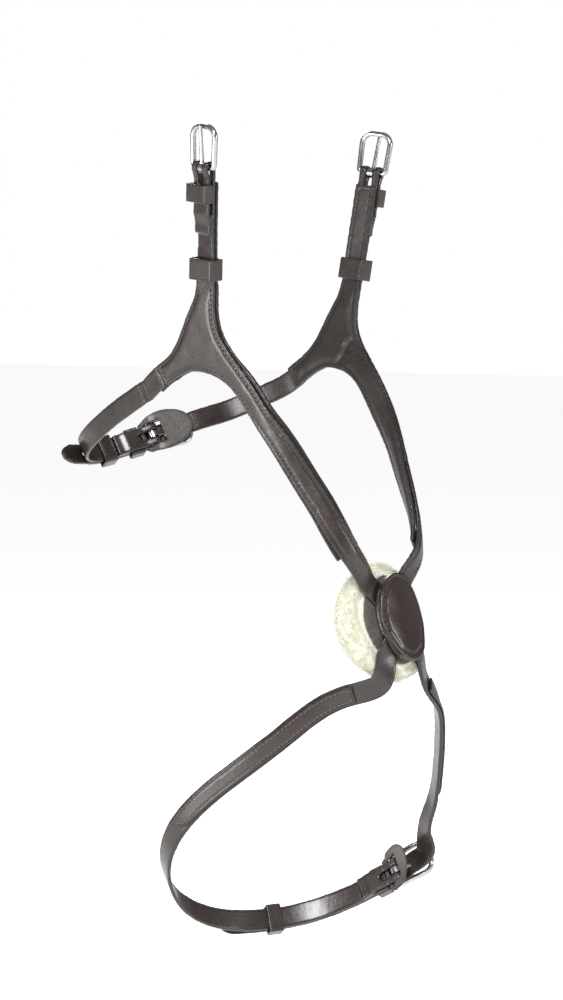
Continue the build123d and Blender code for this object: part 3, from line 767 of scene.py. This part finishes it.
def sheepskin():
    """Fleece pad: puffed, clumped, and covered in short curled wool."""
    draw = np.random.default_rng(SEED)
    coarse = remeshed(solid_of(["sheepskin_pad"]), 4.0)
    coarse.smooth(2)
    surface = remeshed(solid_of(["sheepskin_pad"]), 1.1)
    surface.smooth(8)
    free = 1 - under_backing(surface.points, 5)
    shift = swollen(coarse, 2.0)
    tree = kdtree.KDTree(len(coarse.points))
    for index, point in enumerate(coarse.points):
        tree.insert(point, index)
    tree.balance()
    nearest = [tree.find_n(point, 4) for point in surface.points]
    puff = np.array([sum((shift[index] for _, index, _ in found), np.zeros(3)) / 4 for found in nearest])
    surface.points += puff * free[:, None]
    surface.write()
    surface.smooth(2)
    for size, amount, seed in ((9.0, 0.9, 1), (4.0, 0.8, 2), (2.0, 0.5, 3)):
        shift = Vector((seed * 5.1, seed, -seed))
        lumps = np.array([noise.noise(Vector(point) / (size * MM) + shift) for point in surface.points])
        surface.push(lumps * amount * free)
    obj = piece("sheepskin_pad_look", surface, [FLEECE])
    place, normals = scattered(surface, 20000, draw)
    clear = under_backing(place, 2.5) < 0.02
    vertices, faces = curled_hairs(place[clear], normals[clear], 3.6, 0.15, 2.2, 0.5, draw)
    add_faces(obj.data, vertices.tolist(), faces, 0)
    obj.data.polygons.foreach_set("use_smooth", [True] * len(obj.data.polygons))
    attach(obj, "nose_and_cheeks")
    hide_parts("sheepskin_pad")


def backing():
    """Felt backing with a fuzzy rim."""
    draw = np.random.default_rng(SEED + 1)
    surface = remeshed(solid_of(["nose_backing"]), 0.5)
    surface.smooth(2)
    surface.ripple(1.6, 0.18, 2)
    obj = piece("nose_backing_look", surface, [FELT])
    place, normals = scattered(surface, 6000, draw)
    edge = oval_reach("nose_backing", place) > 0.86
    vertices, faces = curled_hairs(place[edge], normals[edge], 1.3, 0.09, 1.6, 0.7, draw)
    add_faces(obj.data, vertices.tolist(), faces, 0)
    obj.data.polygons.foreach_set("use_smooth", [True] * len(obj.data.polygons))
    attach(obj, "nose_and_cheeks")
    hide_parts("nose_backing")


nose_shield()
backing()
sheepskin()

# ---------------------------------------------------------------- buckles

for name, node in frame["nodes"].items():
    if name.endswith("_buckle_frame") or name.endswith("_buckle_tongue"):
        node.data.materials.clear()
        node.data.materials.append(STEEL)

# ---------------------------------------------------------------- stage, light and camera

centre = (cad_bounds[0] + cad_bounds[1]) / 2
# Low enough to leave room for the chin loop when it swings.
floor_height = cad_bounds[0].z - 0.06


def plain_material(name, colour):
    """Pale floor that glows a little, like a light table, so that it stays close to white."""
    material, tree, shader = new_material(name)
    shader.inputs["Base Color"].default_value = (*colour, 1)
    shader.inputs["Roughness"].default_value = 0.9
    shader.inputs["Emission Color"].default_value = (1, 1, 1, 1)
    shader.inputs["Emission Strength"].default_value = 0.68
    return material


def floor():
    mesh = bpy.data.meshes.new("floor")
    reach = 12.0
    corners = [(-reach, -reach), (reach, -reach), (reach, reach), (-reach, reach)]
    mesh.from_pydata([(x, y, floor_height) for x, y in corners], [], [(0, 1, 2, 3)])
    mesh.materials.append(plain_material("pale_floor", (0.86, 0.86, 0.86)))
    obj = bpy.data.objects.new("floor", mesh)
    bpy.context.scene.collection.objects.link(obj)


def area_light(name, position, size, power):
    light = bpy.data.lights.new(name, "AREA")
    light.shape = "DISK"
    light.size = size
    light.energy = power
    obj = bpy.data.objects.new(name, light)
    obj.location = centre + Vector(position)
    obj.rotation_euler = (centre - obj.location).to_track_quat("-Z", "Y").to_euler()
    bpy.context.scene.collection.objects.link(obj)


def camera():
    """Camera on the horse's right front, a little above, as a long-lens product shot."""
    azimuth, elevation, distance = math.radians(-50), math.radians(3.5), 2.2
    back = Vector((
        math.sin(azimuth) * math.cos(elevation),
        -math.cos(azimuth) * math.cos(elevation),
        math.sin(elevation),
    ))
    right = Vector((0, 0, 1)).cross(back).normalized()
    up = back.cross(right)
    rotation = Matrix((right, up, back)).transposed()
    data = bpy.data.cameras.new("camera")
    data.lens = 133.85
    data.sensor_width = 36
    data.clip_end = 60
    obj = bpy.data.objects.new("camera", data)
    target = Vector((-0.0404, 0.0393, 0.0750))
    obj.matrix_world = Matrix.Translation(target + back * distance) @ rotation.to_4x4()
    bpy.context.scene.collection.objects.link(obj)
    bpy.context.scene.camera = obj


floor()
area_light("key", (-1.5, -0.9, 1.3), 0.5, 48)
area_light("side_sheen", (-1.9, 0.45, 0.0), 0.8, 24)
area_light("front_fill", (0.6, -2.2, 0.5), 0.8, 18)
area_light("back_fill", (1.2, 1.7, 1.2), 0.9, 26)


def studio_world(seen, lit):
    """White backdrop for the camera that lights the object with a dimmer sky."""
    world = bpy.data.worlds.new("studio")
    world.use_nodes = True
    tree = world.node_tree
    background = tree.nodes["Background"]
    background.inputs["Color"].default_value = (1, 1, 1, 1)
    rays = tree.nodes.new("ShaderNodeLightPath")
    strength = ramp(tree, rays.outputs["Is Camera Ray"], 0, 1, lit, seen)
    tree.links.new(strength, background.inputs["Strength"])
    bpy.context.scene.world = world


studio_world(seen=1.0, lit=0.30)
bpy.context.scene.view_settings.view_transform = "Standard"
camera()
